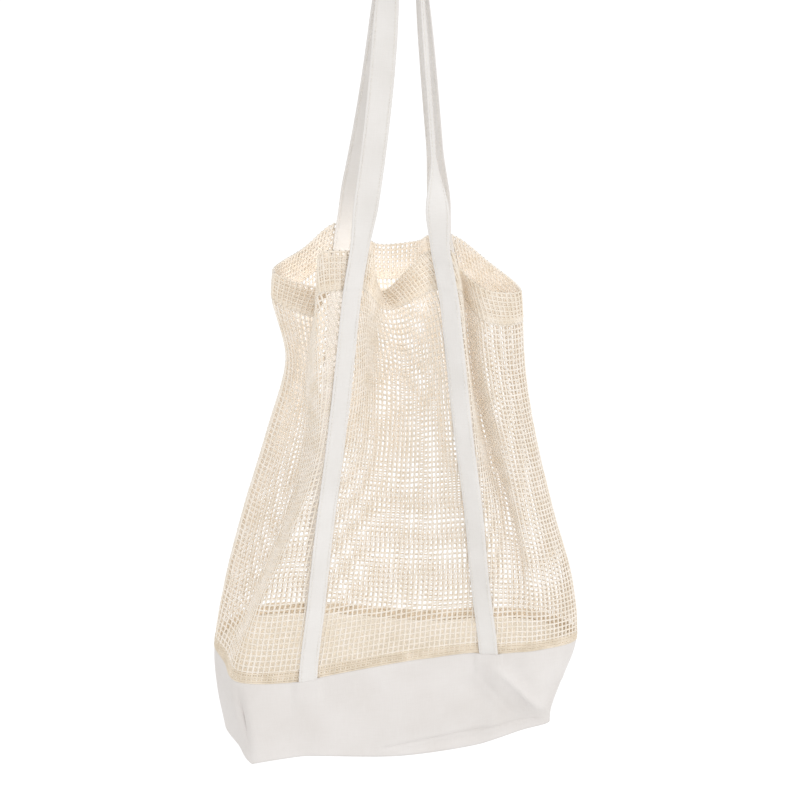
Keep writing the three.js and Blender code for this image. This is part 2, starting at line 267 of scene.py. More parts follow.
# How far the back handles lie beside the front ones at the mouth, where the back corners and the sides lie
# between their neighbours, and how the front's middle is skewed and the back's middle spread. TURN_TOP is the
# height by which the sewn handles have turned.
BACK_SHIFT_LEFT = -0.014
BACK_SHIFT_RIGHT = 0.003
CORNER_SHARE = 0.4
CORNER_DEPTH = 0.85
SIDE_SHARE = 0.45
SAG_SKEW = 0.3
MIDDLE_SPREAD = 0.4
TURN_TOP = 0.3 * NET_HEIGHT


def plan_of(s):
    """Where every station lies in plan, for all the sections at once."""
    up = np.maximum(0, s["height"]) / NET_HEIGHT
    back_left_x = s["strap_left"] + BACK_SHIFT_LEFT * up
    back_right_x = s["strap_right"] + BACK_SHIFT_RIGHT * up
    half = SEWN_WIDTH / 2
    turn = SEWN_TURN * smooth(s["height"], -BASE_HEIGHT, TURN_TOP)
    across = half * np.cos(turn)
    inward = half * np.sin(turn)
    middle = (s["strap_left"] + s["strap_right"]) / 2
    front = (s["front_left"] + s["front_right"]) / 2
    plan = {
        "left_ridge": (s["ridge_left"], s["front_left"] - s["out_left"]),
        "right_ridge": (s["ridge_right"], s["front_right"] - s["out_right"]),
        "front_left_outer": (s["strap_left"] - across, s["front_left"] - inward),
        "front_left_inner": (s["strap_left"] + across, s["front_left"] + inward),
        "front_middle": (middle - SAG_SKEW * s["sag"], front + s["sag"]),
        "front_right_inner": (s["strap_right"] - across, s["front_right"] + inward),
        "front_right_outer": (s["strap_right"] + across, s["front_right"] - inward),
        "back_right_corner": (mix(s["right"], back_right_x, CORNER_SHARE), s["back_right"] * CORNER_DEPTH),
        "back_right_outer": (back_right_x + half, s["back_right"]),
        "back_right_inner": (back_right_x - half, s["back_right"]),
        "back_middle_right": (mix(middle, back_right_x, MIDDLE_SPREAD), s["back_right"] + s["bulge"]),
        "back_middle_left": (mix(middle, back_left_x, MIDDLE_SPREAD), s["back_left"] + s["bulge"]),
        "back_left_inner": (back_left_x + half, s["back_left"]),
        "back_left_outer": (back_left_x - half, s["back_left"]),
        "back_left_corner": (mix(s["left"], back_left_x, CORNER_SHARE), s["back_left"] * CORNER_DEPTH),
    }
    plan["left"] = (s["left"], mix(plan["left_ridge"][1], plan["back_left_corner"][1], SIDE_SHARE))
    plan["right"] = (s["right"], mix(plan["right_ridge"][1], plan["back_right_corner"][1], SIDE_SHARE))
    left_banks = (plan["left_ridge"][1] + plan["left"][1]) / 2
    right_banks = (plan["front_right_outer"][1] + plan["right_ridge"][1]) / 2
    plan["left_valley"] = (s["valley_left"], left_banks + s["dip_left"])
    plan["right_valley"] = (s["valley_right"], right_banks + s["dip_right"])
    return plan


def station_points():
    """Every section's point at every station: sections, stations, XYZ."""
    plan = plan_of(SECTIONS)
    heights = SECTIONS["height"]
    levels = (-BASE_HEIGHT, 0, NET_HEIGHT - HEM_HEIGHT, NET_HEIGHT)
    points = np.empty((len(heights), STATION_COUNT, 3))
    for i, (name, (_, *hangs)) in enumerate(STATIONS.items()):
        points[:, i, 0], points[:, i, 1] = plan[name]
        points[:, i, 2] = heights - np.interp(heights, levels, hangs) - NET_HEIGHT - HANDLE_DROP
    return points


STATION_POINTS = station_points()


def surface(rounds, rows):
    """Points of the middle surface, rows by rounds.

    A round counts stations from the left side, and a row counts sections.
    """
    lines = catmull_rom(STATION_POINTS, np.asarray(rows, float) / MOUTH)
    shares = np.mod(np.asarray(rounds, float), STATION_COUNT) / STATION_COUNT
    return catmull_rom(lines.swapaxes(0, 1), shares, closed=True).swapaxes(0, 1)


# How far apart slopes are measured, in rounds and rows
PROBE = 0.01


def surface_normals(rounds, rows):
    rounds = np.asarray(rounds, float)
    rows = np.asarray(rows, float)
    along = surface(rounds + PROBE, rows) - surface(rounds - PROBE, rows)
    up = surface(rounds, np.minimum(rows + PROBE, MOUTH)) - surface(rounds, np.maximum(rows - PROBE, BOTTOM))
    return unit(np.cross(along, up))


# Meshes from arrays. A lump is a tuple of points, face corners, face sizes and a UV for each corner.


def ring_faces(strands, rings, sides, flip):
    """Corner numbers of the walls between rings, for strands of rings of sides points each."""
    s, r, k = np.meshgrid(np.arange(strands), np.arange(rings - 1), np.arange(sides), indexing="ij")
    here = (s * rings + r) * sides
    beside = (k + 1) % sides
    corners = [here + k, here + sides + k, here + sides + beside, here + beside]
    return np.stack(corners[::-1] if flip else corners, axis=-1).reshape(-1, 4)


def swept(rings, around, along, flip=False):
    """Closed tubes from rings of points, (strands, rings, sides, XYZ), with UVs around and along."""
    strands, count, sides, _ = rings.shape
    walls = ring_faces(strands, count, sides, flip)
    first = np.arange(strands)[:, None] * count * sides + np.arange(sides)
    last = first + (count - 1) * sides
    ends = np.concatenate([first[:, ::-1], last] if flip else [first, last[:, ::-1]])
    u = np.broadcast_to(around, (strands, count, sides + 1))
    v = np.broadcast_to(along[:, :, None], (strands, count, sides + 1))
    k = np.arange(sides)
    corners = [(slice(0, -1), k), (slice(1, None), k), (slice(1, None), k + 1), (slice(0, -1), k + 1)]
    corners = corners[::-1] if flip else corners
    wall_uv = np.stack([np.stack([u[:, r][:, :, c], v[:, r][:, :, c]], axis=-1) for r, c in corners], axis=3)
    points = rings.reshape(-1, 3)
    loops = np.concatenate([walls.ravel(), ends.ravel()])
    sizes = np.concatenate([np.full(len(walls), 4), np.full(len(ends), sides)])
    uv = np.concatenate([wall_uv.reshape(-1, 2), np.zeros((ends.size, 2))])
    return points, loops, sizes, uv


def tubes(paths, outs, wide, deep, sides):
    """Closed strands along many paths of one length, (strands, rings, XYZ), with their oval sections."""
    ahead = unit(np.gradient(paths, axis=1))
    side = unit(np.cross(ahead, outs))
    out = np.cross(side, ahead)
    turn = 2 * math.pi * np.arange(sides) / sides
    across = np.cos(turn)[:, None] * (side * wide[..., None])[:, :, None]
    proud = np.sin(turn)[:, None] * (out * deep[..., None])[:, :, None]
    around = np.linspace(0, 1, sides + 1)
    along = arc_lengths(paths.swapaxes(0, 1)).T
    return swept(paths[:, :, None] + across + proud, around, along)


def joined(*lumps):
    counts = np.cumsum([0] + [len(lump[0]) for lump in lumps])
    points = np.concatenate([lump[0] for lump in lumps])
    loops = np.concatenate([lump[1] + start for lump, start in zip(lumps, counts)])
    sizes = np.concatenate([lump[2] for lump in lumps])
    uv = np.concatenate([lump[3] for lump in lumps])
    return points, loops, sizes, uv


def new_piece(name, lump, material):
    """A smooth-shaded object from a lump."""
    points, loops, sizes, uv = lump
    mesh = bpy.data.meshes.new(name)
    mesh.vertices.add(len(points))
    mesh.vertices.foreach_set("co", points.astype(np.float32).ravel())
    mesh.loops.add(len(loops))
    mesh.loops.foreach_set("vertex_index", loops.astype(np.int32))
    mesh.polygons.add(len(sizes))
    mesh.polygons.foreach_set("loop_start", (np.cumsum(sizes) - sizes).astype(np.int32))
    mesh.update(calc_edges=True)
    mesh.validate()
    mesh.uv_layers.new(name="cloth").data.foreach_set("uv", uv.astype(np.float32).ravel())
    mesh.polygons.foreach_set("use_smooth", np.ones(len(sizes), bool))
    mesh.materials.append(material)
    piece = bpy.data.objects.new(name, mesh)
    bpy.context.scene.collection.objects.link(piece)
    return piece


# Materials

COTTON_ROUGHNESS = 0.92
COTTON_SHINE = 0.2
COTTON_SHEEN = 0.08
SHEEN_ROUGHNESS = 0.5
TONE_LOW = 0.3
TONE_HIGH = 0.7


def node(tree, kind, inputs=None, **settings):
    """A new shader node whose inputs are set to values or linked to sockets."""
    made = tree.nodes.new(kind)
    for name, value in settings.items():
        setattr(made, name, value)
    for name, value in (inputs or {}).items():
        if isinstance(value, bpy.types.NodeSocket):
            tree.links.new(value, made.inputs[name])
        else:
            made.inputs[name].default_value = value
    return made


def cloth_material(name):
    """A new material's tree and its shader, set up as dry cotton."""
    material = bpy.data.materials.new(name)
    material.use_nodes = True
    tree = material.node_tree
    shader = tree.nodes["Principled BSDF"]
    shader.inputs["Roughness"].default_value = COTTON_ROUGHNESS
    shader.inputs["Specular IOR Level"].default_value = COTTON_SHINE
    shader.inputs["Sheen Weight"].default_value = COTTON_SHEEN
    shader.inputs["Sheen Roughness"].default_value = SHEEN_ROUGHNESS
    return material, tree, shader


def two_tone(tree, shader, fac, low, high):
    """A base colour between two tones, by a texture's value."""
    ramp = node(tree, "ShaderNodeValToRGB", {"Fac": fac})
    ramp.color_ramp.elements[0].position = TONE_LOW
    ramp.color_ramp.elements[0].color = low + (1,)
    ramp.color_ramp.elements[1].position = TONE_HIGH
    ramp.color_ramp.elements[1].color = high + (1,)
    tree.links.new(ramp.outputs["Color"], shader.inputs["Base Color"])


# The length of yarn that the ply texture takes as one unit
YARN_TWIST = 0.0016


def yarn_material(name, low, high):
    """Soft plied cotton yarn: slanting plies along each strand and blotchy undyed cream."""
    material, tree, shader = cloth_material(name)
    uv = node(tree, "ShaderNodeUVMap", uv_map="cloth").outputs["UV"]
    scaled = node(tree, "ShaderNodeMapping", {
        "Vector": uv, "Scale": (1, 1 / YARN_TWIST, 1)}).outputs["Vector"]
    plies = node(tree, "ShaderNodeTexWave", {
        "Vector": scaled, "Scale": 0.22, "Distortion": 0.6, "Detail": 1.0}, bands_direction="DIAGONAL")
    place = node(tree, "ShaderNodeTexCoord").outputs["Object"]
    fuzz = node(tree, "ShaderNodeTexNoise", {"Vector": place, "Scale": 2600.0, "Detail": 2.0})
    blotch = node(tree, "ShaderNodeTexNoise", {"Vector": place, "Scale": 70.0, "Detail": 4.0})
    two_tone(tree, shader, blotch.outputs["Fac"], low, high)
    relief = node(tree, "ShaderNodeMath", {0: plies.outputs["Fac"], 1: fuzz.outputs["Fac"]}, operation="ADD")
    bump = node(tree, "ShaderNodeBump", {
        "Height": relief.outputs["Value"], "Strength": 0.5, "Distance": 0.0003})
    tree.links.new(bump.outputs["Normal"], shader.inputs["Normal"])
    return material


# The wave texture's period at scale 1, the weave's own, and how its slubs are drawn out and mixed in
WAVE_PERIOD = 2 * math.pi / 20
THREAD_PITCH = 0.0007
WEAVE_DEPTH = 0.0001
SLUB_SCALE = 0.8
SLUB_DRAW = 0.05
SLUB_SHARE = 0.35


def weave_material(name, low, high):
    """Plain-weave canvas: two crossing sets of threads, with slubs along both."""
    material, tree, shader = cloth_material(name)
    uv = node(tree, "ShaderNodeUVMap", uv_map="cloth").outputs["UV"]
    sets = []
    slubs = []
    for direction, stretch in (("X", (1, SLUB_DRAW, 1)), ("Y", (SLUB_DRAW, 1, 1))):
        wave = node(tree, "ShaderNodeTexWave", {
            "Vector": uv, "Scale": WAVE_PERIOD / THREAD_PITCH, "Distortion": 0.4, "Detail": 1.0},
            bands_direction=direction)
        sets.append(wave.outputs["Fac"])
        drawn = node(tree, "ShaderNodeMapping", {"Vector": uv, "Scale": stretch}).outputs["Vector"]
        slub = node(tree, "ShaderNodeTexNoise", {
            "Vector": drawn, "Scale": SLUB_SCALE / THREAD_PITCH, "Detail": 3.0})
        slubs.append(slub.outputs["Fac"])
    weave = node(tree, "ShaderNodeMath", {0: sets[0], 1: sets[1]}, operation="MAXIMUM").outputs["Value"]
    slub = node(tree, "ShaderNodeMath", {0: slubs[0], 1: slubs[1]}, operation="ADD").outputs["Value"]
    place = node(tree, "ShaderNodeTexCoord").outputs["Object"]
    blotch = node(tree, "ShaderNodeTexNoise", {"Vector": place, "Scale": 18.0, "Detail": 5.0}).outputs["Fac"]
    tone = node(tree, "ShaderNodeMath", {0: slub, 1: SLUB_SHARE, 2: blotch}, operation="MULTIPLY_ADD")
    toned = node(tree, "ShaderNodeMath", {0: tone.outputs["Value"], 1: SLUB_SHARE}, operation="SUBTRACT")
    two_tone(tree, shader, toned.outputs["Value"], low, high)
    relief = node(tree, "ShaderNodeMath", {0: weave, 1: slub}, operation="ADD").outputs["Value"]
    bump = node(tree, "ShaderNodeBump", {"Height": relief, "Strength": 0.45, "Distance": WEAVE_DEPTH})
    tree.links.new(bump.outputs["Normal"], shader.inputs["Normal"])
    return material


def thread_material():
    material, tree, shader = cloth_material("sewing_thread")
    place = node(tree, "ShaderNodeTexCoord").outputs["Object"]
    fleck = node(tree, "ShaderNodeTexNoise", {"Vector": place, "Scale": 900.0, "Detail": 2.0})
    two_tone(tree, shader, fleck.outputs["Fac"], (0.70, 0.66, 0.60), (0.84, 0.81, 0.76))
    bump = node(tree, "ShaderNodeBump", {
        "Height": fleck.outputs["Fac"], "Strength": 0.4, "Distance": 0.0001})
    tree.links.new(bump.outputs["Normal"], shader.inputs["Normal"])
    return material


YARN = yarn_material("cotton_yarn", (0.77, 0.693, 0.588), (0.84, 0.783, 0.713))
# A darker, warmer copy of the yarn for the front hem: painted shade of its folded, layered net.
PAINTED_SHADE_HEM_YARN = yarn_material("hem_yarn_painted_shade_at_front", (0.75, 0.66, 0.54), (0.815, 0.745, 0.655))
# A darker tan copy of the yarn for the seam bands: painted shade of the gaps between their close ribs.
PAINTED_SHADE_BAND_YARN = yarn_material("band_yarn_painted_shade", (0.64, 0.55, 0.43), (0.78, 0.69, 0.57))
CANVAS = weave_material("canvas_weave", (0.652, 0.619, 0.593), (0.70, 0.671, 0.651))
STRAP = weave_material("strap_weave", (0.675, 0.650, 0.622), (0.731, 0.708, 0.686))
# The canvas's inside: a paler copy of the canvas, painted light for what the thin cotton lets through into
# the bag.
INSIDE_PAINTED_LIGHT = weave_material("canvas_inside_painted_light", (0.80, 0.755, 0.68), (0.84, 0.805, 0.74))
THREAD = thread_material()


# The net

# How finely the surface is traced, and into how many steps a panel's grid divides a square of the net.
# GRID_EDGE keeps a place inside the grid's last step.
FINE_STEPS = 24
FINE_ROWS = 97
SUB_WALES = 4
SUB_KNOTS = 4
GRID_EDGE = 1.001


class Panel:
    """One side of the net, laid out evenly: a wale number across and a knot number up, both fractional."""

    def __init__(self, first, last):
        width = WALES - 1 + 2 * EDGE_WALE
        self.shares = np.linspace(0, 1, int(round(width * SUB_WALES)) + 1)
        self.wale_step = width / (len(self.shares) - 1)
        rounds = np.linspace(first, last, (last - first) * FINE_STEPS + 1)
        body = self.spread(rounds, np.linspace(SEAM, HEM_FOOT, FINE_ROWS), NET_KNOTS)
        hem = self.spread(rounds, np.linspace(HEM_FOOT, MOUTH, FINE_ROWS), HEM_KNOTS)
        self.points = np.concatenate([body, hem[1:]])
        along = np.gradient(self.points, axis=1)
        up = np.gradient(self.points, axis=0)
        self.outs = unit(np.cross(along, up))

    def spread(self, rounds, rows, knots):
        """The surface again, with wales evenly spread round it and knots evenly spread up each wale."""
        sheet = surface(rounds, rows)
        arcs = arc_lengths(sheet.swapaxes(0, 1)).T
        lines = np.stack([along_line(row, arc, self.shares * arc[-1]) for row, arc in zip(sheet, arcs)])
        heights = arc_lengths(lines)
        even = np.linspace(0, 1, knots * SUB_KNOTS + 1)
        columns = []
        for line, height in zip(lines.swapaxes(0, 1), heights.T):
            columns.append(along_line(line, height, even * height[-1]))
        return np.stack(columns, axis=1)

    def at(self, wales, knots, lift=0.0):
        """Points and outward normals at wale and knot numbers, lifted off the middle surface."""
        wales, knots, lift = np.broadcast_arrays(wales, knots, lift)
        x = np.clip((wales + EDGE_WALE) / self.wale_step, 0, self.points.shape[1] - GRID_EDGE)
        y = np.clip(knots * SUB_KNOTS, 0, self.points.shape[0] - GRID_EDGE)
        i, j = x.astype(int), y.astype(int)
        s, t = (x - i)[..., None], (y - j)[..., None]

        def blend(grid):
            low = mix(grid[j, i], grid[j, i + 1], s)
            high = mix(grid[j + 1, i], grid[j + 1, i + 1], s)
            return mix(low, high, t)

        out = unit(blend(self.outs))
        return blend(self.points) + out * lift[..., None], out


# How far strands stray from even, in squares of the net and as a share of their radius, and over how many
# places that changes
WALE_STRAY = 0.10
WALE_CELL = 5
WEFT_STRAY = 0.08
WEFT_CELL = 4
RADIUS_STRAY = 0.12
RADIUS_CELL = 2
WALE_NUMBERS = np.arange(WALES, dtype=float)
WEFT_WALES = np.concatenate([[-EDGE_WALE], WALE_NUMBERS, [WALES - 1 + EDGE_WALE]])


def wale_strands(panel, knots, lifts, rng, shift=0.0, swell=1.0):
    """Strands that run up the net, thicker at the knots."""
    shape = (WALES, len(knots))
    places = WALE_NUMBERS[:, None] + WALE_STRAY * wander(rng, shape, WALE_CELL) + shift
    points, outs = panel.at(places, knots[None, :], lifts[None, :])
    at_knot = np.cos(2 * math.pi * knots) * 0.5 + 0.5
    radius = mix(WALE_RADIUS, KNOT_RADIUS, at_knot)[None, :]
    radius = swell * radius * (1 + RADIUS_STRAY * wander(rng, shape, RADIUS_CELL))
    return tubes(points, outs, radius, radius, WALE_SIDES)


def weft_strands(panel, knots, lift, rng, radius=WEFT_RADIUS):
    """Strands that run across the net, one for each row of knot numbers."""
    shape = (len(knots), len(WEFT_WALES))
    places = knots + WEFT_STRAY * wander(rng, shape, WEFT_CELL)
    points, outs = panel.at(WEFT_WALES[None, :], places, lift)
    sizes = radius * (1 + RADIUS_STRAY * wander(rng, shape, RADIUS_CELL))
    return tubes(points, outs, sizes, sizes, WEFT_SIDES)


def net_body(panel, rng):
    rows = np.arange(0, 2 * NET_KNOTS + 1) / 2
    up = wale_strands(panel, rows, np.zeros(len(rows)), rng)
    across = weft_strands(panel, np.arange(1, NET_KNOTS + 1, dtype=float)[:, None], 0.0, rng)
    return joined(up, across)


# The hem's layers, as lifts off the middle surface, and how much thicker its strands are
HEM_OUTER = 0.0004
HEM_MIDDLE = -0.0002
HEM_INNER = -0.0008
HEM_RIM = (HEM_OUTER + HEM_INNER) / 2
HEM_SWELL = 1.15

# The hem's turns, in squares of the net. TURN_SHIFT is a multiple of the turned layer's own shift.
FRONT_HEM_SHIFT = 0.5
BACK_HEM_SHIFT = 0.22
TURN_IN = 1.6
TURN_STEP = 0.25
TURN_ROWS = np.array([[0.3], [0.7], [1.3]])
TURN_SHIFT = 1.5
RIM_DROP = 0.12


def hem_body(panel, shift, rng):
    """The hem: the net turned over inwards at the rim, and its raw edge turned up again in between.

    shift is how far the turned layer lies beside the outer one, in squares of the net.
    """
    outer = np.arange(0, 2 * HEM_KNOTS) / 2 + NET_KNOTS
    outer = np.append(outer, ALL_KNOTS - RIM_DROP)
    rising = HEM_OUTER * smooth(outer, NET_KNOTS, NET_KNOTS + 1)
    top = np.array([ALL_KNOTS])
    inner = outer[::-1]
    middle = NET_KNOTS + np.arange(TURN_STEP, TURN_IN, TURN_STEP)
    knots = np.concatenate([outer, top, inner, middle])
    inner_lifts = np.full(len(inner), HEM_INNER)
    middle_lifts = np.full(len(middle), HEM_MIDDLE)
    lifts = np.concatenate([rising, [HEM_RIM], inner_lifts, middle_lifts])
    aside = shift * smooth(-inner, -ALL_KNOTS, 1 - ALL_KNOTS)
    tucked = np.full(len(middle), TURN_SHIFT * shift)
    drift = np.concatenate([np.zeros(len(outer) + 1), aside, tucked])
    up = wale_strands(panel, knots, lifts, rng, drift[None, :], HEM_SWELL)
    numbers = np.arange(NET_KNOTS + 1, ALL_KNOTS, dtype=float)[:, None]
    thick = HEM_SWELL * WEFT_RADIUS
    front = weft_strands(panel, numbers, HEM_OUTER, rng, thick)
    between = weft_strands(panel, NET_KNOTS + TURN_ROWS, HEM_MIDDLE, rng, thick)
    behind = weft_strands(panel, numbers - shift, HEM_INNER, rng, thick)
    rim = weft_strands(panel, np.array([[ALL_KNOTS - RIM_DROP]]), HEM_RIM, rng, KNOT_RADIUS)
    return joined(up, front, between, behind, rim)


# The seam band: its ribs' heights above the seam, their size and lift, and how they wave, and the ends of the
# wales in it. RIB_STAGGER and BAND_SHIFT are in squares of the net.
BAND_RIBS = np.array([0.0007, 0.0024, 0.0051, 0.0068, 0.0095])
RIB_RADIUS = 0.0010
RIB_LIFT = 0.00045
RIB_STAGGER = 0.15
BAND_WAVE = 0.0012
BAND_CELL = 9
BAND_ROWS = 5
BAND_SHIFT = 0.5
KNOT_PITCH = (NET_HEIGHT - HEM_HEIGHT) / NET_KNOTS


def band_body(panel, rng):
    """The net's folded edge along the seam: ribs lying close, in two layers, over the ends of the wales."""
    ribs = BAND_RIBS[:, None] / KNOT_PITCH
    wave = BAND_WAVE * wander(rng, (len(WEFT_WALES),), BAND_CELL) / KNOT_PITCH
    knots = ribs + wave * ribs / ribs.max()
    outer = weft_strands(panel, knots, RIB_LIFT, rng, RIB_RADIUS)
    inner = weft_strands(panel, knots + RIB_STAGGER, -RIB_LIFT, rng, RIB_RADIUS)
    rows = np.linspace(0, BAND_HEIGHT / KNOT_PITCH, BAND_ROWS)
    ends = wale_strands(panel, rows, np.zeros(len(rows)), rng, BAND_SHIFT)
    return joined(outer, inner, ends)


# The canvas base

# Columns for each facet of the part, rows up the wall and strips across the bottom
BASE_SUB = 8
BASE_ROWS = 60
BOTTOM_STRIPS = 24


def fold_rise(x, z):
    """How far the folds lift the base's front at a point."""
    rise = np.zeros_like(x)
    for from_x, from_z, to_x, to_z, width, height in zip(*FOLDS.values()):
        run = np.array([to_x - from_x, to_z - from_z])
        share = np.clip(((x - from_x) * run[0] + (z - from_z) * run[1]) / (run @ run), 0, 1)
        away = np.hypot(x - from_x - share * run[0], z - from_z - share * run[1])
        rise = rise + height * np.exp(-((away / width) ** 2))
    return rise


# Under the handles' sewn ends: how far the base stands out, how far down, and how softly beside them
END_RISE = 0.0026
END_REACH = 0.045
END_BLEND = 0.007


def end_rise(wall):
    """How far the base's front stands out under the handle's sewn ends, to lie level with them."""
    below = arc_lengths(wall[::-1])[::-1]
    x = wall[..., 0]
    half = SEWN_WIDTH / 2
    ends = sum(1 - smooth(np.abs(x - SECTIONS[side][SEAM]), half, half + END_BLEND)
               for side in ("strap_left", "strap_right"))
    return END_RISE * ends * (1 - smooth(below, 0, END_REACH))


# The drawn corner: how far it drops, how far that reaches round, and up the wall as a share of it
TIP_DROP = 0.0045
TIP_REACH = 0.010
TIP_SHARE = 0.4


def tip_drop(wall, rounds):
    """How far the base's left front corner is drawn down to a point."""
    along = arc_lengths(wall[BOTTOM])
    corner = np.interp(STATION_NAMES.index("left_ridge"), rounds, along)
    low = 1 - smooth(np.linspace(0, 1, len(wall)), 0, TIP_SHARE)
    return TIP_DROP * low[:, None] * np.exp(-np.abs(along - corner) / TIP_REACH)


def facet_rounds():
    """Rounds of the base's columns, BASE_SUB to each facet of the part, and the column of the right side."""
    facets = np.array([row[0] for row in STATIONS.values()])
    edges = np.concatenate([[0], np.cumsum(facets)])
    count = edges[-1] * BASE_SUB
    rounds = np.interp(np.arange(count) / BASE_SUB, edges, np.arange(STATION_COUNT + 1))
    return rounds, edges[SIDE_RIGHT] * BASE_SUB


def base_wall(rounds, right):
    """The wall's middle surface with its folds, rows by columns."""
    rows = np.linspace(BOTTOM, SEAM, BASE_ROWS + 1)
    wall = surface(rounds, rows)
    normals = surface_normals(rounds, rows)
    slack = np.sin(math.pi * np.arange(BASE_ROWS + 1) / BASE_ROWS)[:, None]
    front = (np.arange(len(rounds)) < right)[None, :]
    rise = front * (slack * fold_rise(wall[..., 0], wall[..., 2]) + end_rise(wall))
    wall = wall + normals * rise[..., None]
    wall[..., 2] -= tip_drop(wall, rounds)
    return wall


def wall_faces(wall):
    """The wall's faces and their UVs, in metres round and up."""
    count = wall.shape[1]
    u = arc_lengths(np.concatenate([wall, wall[:, :1]], axis=1).swapaxes(0, 1)).T[BASE_ROWS // 2]
    v = arc_lengths(wall).mean(axis=1)
    faces = []
    uvs = []
    for r in range(BASE_ROWS):
        for c in range(count):
            a, b = r * count + c, r * count + (c + 1) % count
            faces.append((a, b, b + count, a + count))
            uvs += [(u[c], v[r]), (u[c + 1], v[r]), (u[c + 1], v[r + 1]), (u[c], v[r + 1])]
    return faces, uvs


def bottom_lines(wall, right, points):
    """Lines of point numbers over the bottom, from each front column to its back one. Adds their points."""
    count = wall.shape[1]
    lines = []
    for c in range(right + 1):
        back = (count - c) % count
        line = [c]
        for s in range(1, BOTTOM_STRIPS):
            share = s / BOTTOM_STRIPS
            at = mix(wall[0, c], wall[0, back], share)
            at[2] -= BOTTOM_SAG * math.sin(math.pi * share) * math.sin(math.pi * c / right)
            line.append(c if c == back else len(points))
            if c != back:
                points.append(at)
        lines.append(line + [back])
    return lines


def bottom_faces(lines, points):
    """The bottom's faces and their UVs, in metres along X and Y."""
    faces = []
    uvs = []
    for near, far in zip(lines, lines[1:]):
        for s in range(BOTTOM_STRIPS):
            corners = [near[s], near[s + 1], far[s + 1], far[s]]
            face = list(dict.fromkeys(corners))
            if len(face) > 2:
                faces.append(tuple(face))
                uvs += [(points[i][0], points[i][1]) for i in face]
    return faces, uvs


def base_sheet():
    """The base's middle surface as a lump: the wall, then the bottom."""
    rounds, right = facet_rounds()
    wall = base_wall(rounds, right)
    points = list(wall.reshape(-1, 3))
    faces, uvs = wall_faces(wall)
    more_faces, more_uvs = bottom_faces(bottom_lines(wall, right, points), points)
    faces += more_faces
    uvs += more_uvs
    sizes = np.array([len(face) for face in faces])
    loops = np.array([i for face in faces for i in face])
    return np.array(points), loops, sizes, np.array(uvs)


def make_base():
    base = new_piece("canvas_base_cloth", base_sheet(), CANVAS)
    # The shell's inner faces take a paler copy of the canvas: painted light for what the thin cotton lets
    # through.
    base.data.materials.append(INSIDE_PAINTED_LIGHT)
    shell = base.modifiers.new("thickness", "SOLIDIFY")
    shell.thickness = CANVAS_THICK
    shell.offset = 0
    shell.material_offset = 1
    return base


# The handles

# Rings along a leg's sewn and free parts and over the loop, and points across a face
SEWN_ROWS = 140
FREE_ROWS = 110
LOOP_ROWS = 40
STRAP_FACE_POINTS = 13

# How far the sewn ends reach below the seam, in rows, and how deep they sink there. STEP_ROWS is how many
# rows a change in the net's thickness takes.
END_TUCK = 0.10
END_SINK = 0.0016
BAND_TOP = SEAM + BAND_HEIGHT / SECTIONS["height"][SEAM + 1]
STEP_ROWS = 0.03


def net_thick(rows):
    """How thick the net is at each row: in its seam band, above it and in its hem."""
    steps = (BAND_TOP, BAND_TOP + STEP_ROWS, HEM_FOOT, HEM_FOOT + STEP_ROWS)
    return np.interp(rows, steps, (BAND_THICK, NET_THICK, NET_THICK, HEM_THICK))


class Leg:
    """One leg of a handle: its stations, the way to its inner edge in X, its travel, free turn and bow."""

    def __init__(self, name, side, travel, free_turn, bow):
        self.outer = STATION_NAMES.index(name + "_outer")
        self.inner = STATION_NAMES.index(name + "_inner")
        self.side = side
        self.travel = travel
        self.free_turn = free_turn
        self.bow = bow

    def sewn(self, facing):
        """Middles, ways across, normals and half widths from the seam up to the mouth.

        The front handle is sewn to the net's outside, and the back one to its inside.
        """
        rows = np.linspace(SEAM - END_TUCK, MOUTH, SEWN_ROWS)
        rounds = np.array([self.outer, (self.outer + self.inner) / 2, self.inner])
        lift = net_thick(rows)[:, None, None] / 2 + SEWN_GAP + STRAP_THICK / 2
        lift = lift - END_SINK * (1 - smooth(rows, SEAM - END_TUCK, SEAM + END_TUCK))[:, None, None]
        lines = surface(rounds, rows) - facing * surface_normals(rounds, rows) * lift
        across = unit(lines[:, 2] - lines[:, 0])
        ahead = np.gradient(lines[:, 1], axis=0) * self.travel
        return lines[:, 1], across, unit(np.cross(across, ahead)), np.full((len(rows), 1), SEWN_WIDTH / 2)

    def free(self, start, edge, end, facing):
        """The same from the mouth up to the loop."""
        share = np.linspace(0, 1, FREE_ROWS + 1)[1:, None]
        ahead = unit(end - start) * self.travel
        mouth_turn = math.atan2(-facing * edge[1], self.side * edge[0])
        relaxed = mix(mouth_turn, self.free_turn, smooth(share, 0, RELAX_SHARE))
        turn = mix(relaxed, -math.pi / 2, share ** TWIST_POWER)
        hint = np.concatenate([self.side * np.cos(turn), -facing * np.sin(turn), 0 * turn], axis=1)
        normal = unit(np.cross(hint, ahead))
        half = mix(SEWN_WIDTH, STRAP_WIDTH, smooth(share, 0, OPEN_SHARE)) / 2
        middle = mix(start, end, share)
        middle[:, :1] += self.bow * np.sin(math.pi * share)
        return middle, unit(np.cross(ahead, normal)), normal, half


